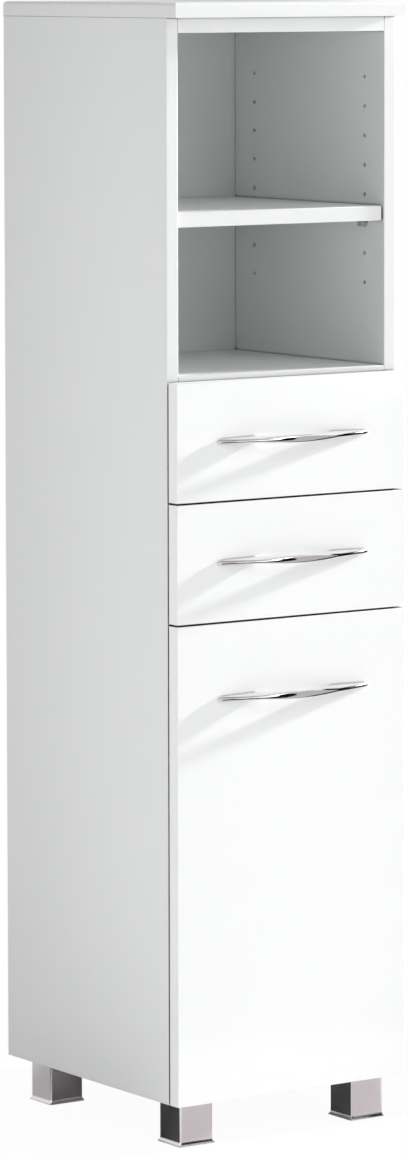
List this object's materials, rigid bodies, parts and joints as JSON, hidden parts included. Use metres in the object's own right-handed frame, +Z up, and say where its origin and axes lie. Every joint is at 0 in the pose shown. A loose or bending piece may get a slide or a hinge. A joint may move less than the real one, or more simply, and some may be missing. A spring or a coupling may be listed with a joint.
{
  "type": "mid-height bathroom cabinet",
  "caption": "Narrow white free-standing cabinet: open compartment with a shelf on top, drawers below it, and a cupboard with a hinged door, on square metal feet.",
  "frame": {"origin": "on the floor, in the middle of the cabinet's bounding box", "axes": "+X to the right as seen from the front, +Y from the front to the back, +Z up"},
  "size_m": [0.3, 0.36, 1.22],
  "materials": {
    "white_board": "white melamine facing, satin",
    "white_front": "white foil facing, semi-gloss",
    "back_board": "white-faced hardboard, matt",
    "chrome": "polished",
    "foot_metal": "polished, slightly brushed",
    "zinc_steel": "zinc plated",
    "nickel_steel": "nickel plated",
    "white_sheet": "white epoxy coat",
    "roller_nylon": "plain nylon",
    "beech": "raw, fluted",
    "pad_plastic": "matt",
    "bumper": "clear, soft"
  },
  "bodies": {
    "cabinet": {"side_panel_left": "white_board", "side_panel_right": "white_board", "top_panel": "white_board", "carcass_top": "white_board", "compartment_floor": "white_board", "drawer_divider": "white_board", "bottom_panel": "white_board", "back_panel": "back_board", "open_shelf": "white_board", "cupboard_shelf": "white_board", "shelf_pins": "zinc_steel", "cam_locks": "zinc_steel", "cam_bolts": "zinc_steel", "dowels": "beech", "top_screws": "zinc_steel", "foot_front_left": "foot_metal", "foot_front_right": "foot_metal", "foot_back_left": "foot_metal", "foot_back_right": "foot_metal", "foot_pads": "pad_plastic", "foot_bolts": "zinc_steel", "hinge_plates": "nickel_steel", "hinge_arms": "nickel_steel", "euro_screws": "zinc_steel", "upper_runner_left": "white_sheet", "upper_runner_right": "white_sheet", "lower_runner_left": "white_sheet", "lower_runner_right": "white_sheet", "wall_bracket": "zinc_steel", "front_bumpers": "bumper"},
    "upper_drawer": {"upper_drawer_front": "white_front", "upper_drawer_side_left": "white_board", "upper_drawer_side_right": "white_board", "upper_drawer_back": "white_board", "upper_drawer_bottom": "back_board", "upper_drawer_dowels": "beech", "upper_drawer_rail_left": "white_sheet", "upper_drawer_rail_right": "white_sheet", "upper_handle": "chrome", "upper_handle_screws": "zinc_steel"},
    "lower_drawer": {"lower_drawer_front": "white_front", "lower_drawer_side_left": "white_board", "lower_drawer_side_right": "white_board", "lower_drawer_back": "white_board", "lower_drawer_bottom": "back_board", "lower_drawer_dowels": "beech", "lower_drawer_rail_left": "white_sheet", "lower_drawer_rail_right": "white_sheet", "lower_handle": "chrome", "lower_handle_screws": "zinc_steel"},
    "hinge_links": {"hinge_links": "nickel_steel"},
    "door": {"door_panel": "white_front", "door_handle": "chrome", "door_handle_screws": "zinc_steel", "hinge_cups": "nickel_steel", "hinge_cup_screws": "nickel_steel"},
    "upper_front_rollers": {"upper_front_rollers": "roller_nylon"},
    "upper_rear_rollers": {"upper_rear_rollers": "roller_nylon"},
    "lower_front_rollers": {"lower_front_rollers": "roller_nylon"},
    "lower_rear_rollers": {"lower_rear_rollers": "roller_nylon"}
  },
  "joints": [
    {"name": "upper_drawer_slide", "type": "slide", "parent": "cabinet", "child": "upper_drawer", "axis": [0, -1, 0], "range_m": [0, 0.18]},
    {"name": "lower_drawer_slide", "type": "slide", "parent": "cabinet", "child": "lower_drawer", "axis": [0, -1, 0], "range_m": [0, 0.18]},
    {"name": "upper_front_rollers_turn", "type": "hinge", "parent": "cabinet", "child": "upper_front_rollers", "pos_m": [0, -0.126, 0.729], "axis": [1, 0, 0], "range_deg": [0, 1400]},
    {"name": "upper_rear_rollers_turn", "type": "hinge", "parent": "upper_drawer", "child": "upper_rear_rollers", "pos_m": [0, 0.1, 0.7265], "axis": [1, 0, 0], "range_deg": [0, 1400]},
    {"name": "lower_front_rollers_turn", "type": "hinge", "parent": "cabinet", "child": "lower_front_rollers", "pos_m": [0, -0.126, 0.6], "axis": [1, 0, 0], "range_deg": [0, 1400]},
    {"name": "lower_rear_rollers_turn", "type": "hinge", "parent": "lower_drawer", "child": "lower_rear_rollers", "pos_m": [0, 0.1, 0.5975], "axis": [1, 0, 0], "range_deg": [0, 1400]},
    {"name": "hinge_links_swing", "type": "hinge", "parent": "cabinet", "child": "hinge_links", "pos_m": [0.1185, -0.139, 0.305], "axis": [0, 0, -1], "range_deg": [0, 30]},
    {"name": "door_swing", "type": "hinge", "parent": "hinge_links", "child": "door", "pos_m": [0.1385, -0.146, 0.305], "axis": [0, 0, 1], "range_deg": [0, 125]}
  ],
  "couplings": [
    {"joint": "upper_front_rollers_turn", "follows": "upper_drawer_slide", "rad_per_m": 133.33},
    {"joint": "upper_rear_rollers_turn", "follows": "upper_drawer_slide", "rad_per_m": 133.33},
    {"joint": "lower_front_rollers_turn", "follows": "lower_drawer_slide", "rad_per_m": 133.33},
    {"joint": "lower_rear_rollers_turn", "follows": "lower_drawer_slide", "rad_per_m": 133.33},
    {"joint": "hinge_links_swing", "follows": "door_swing", "ratio": 0.24}
  ]
}
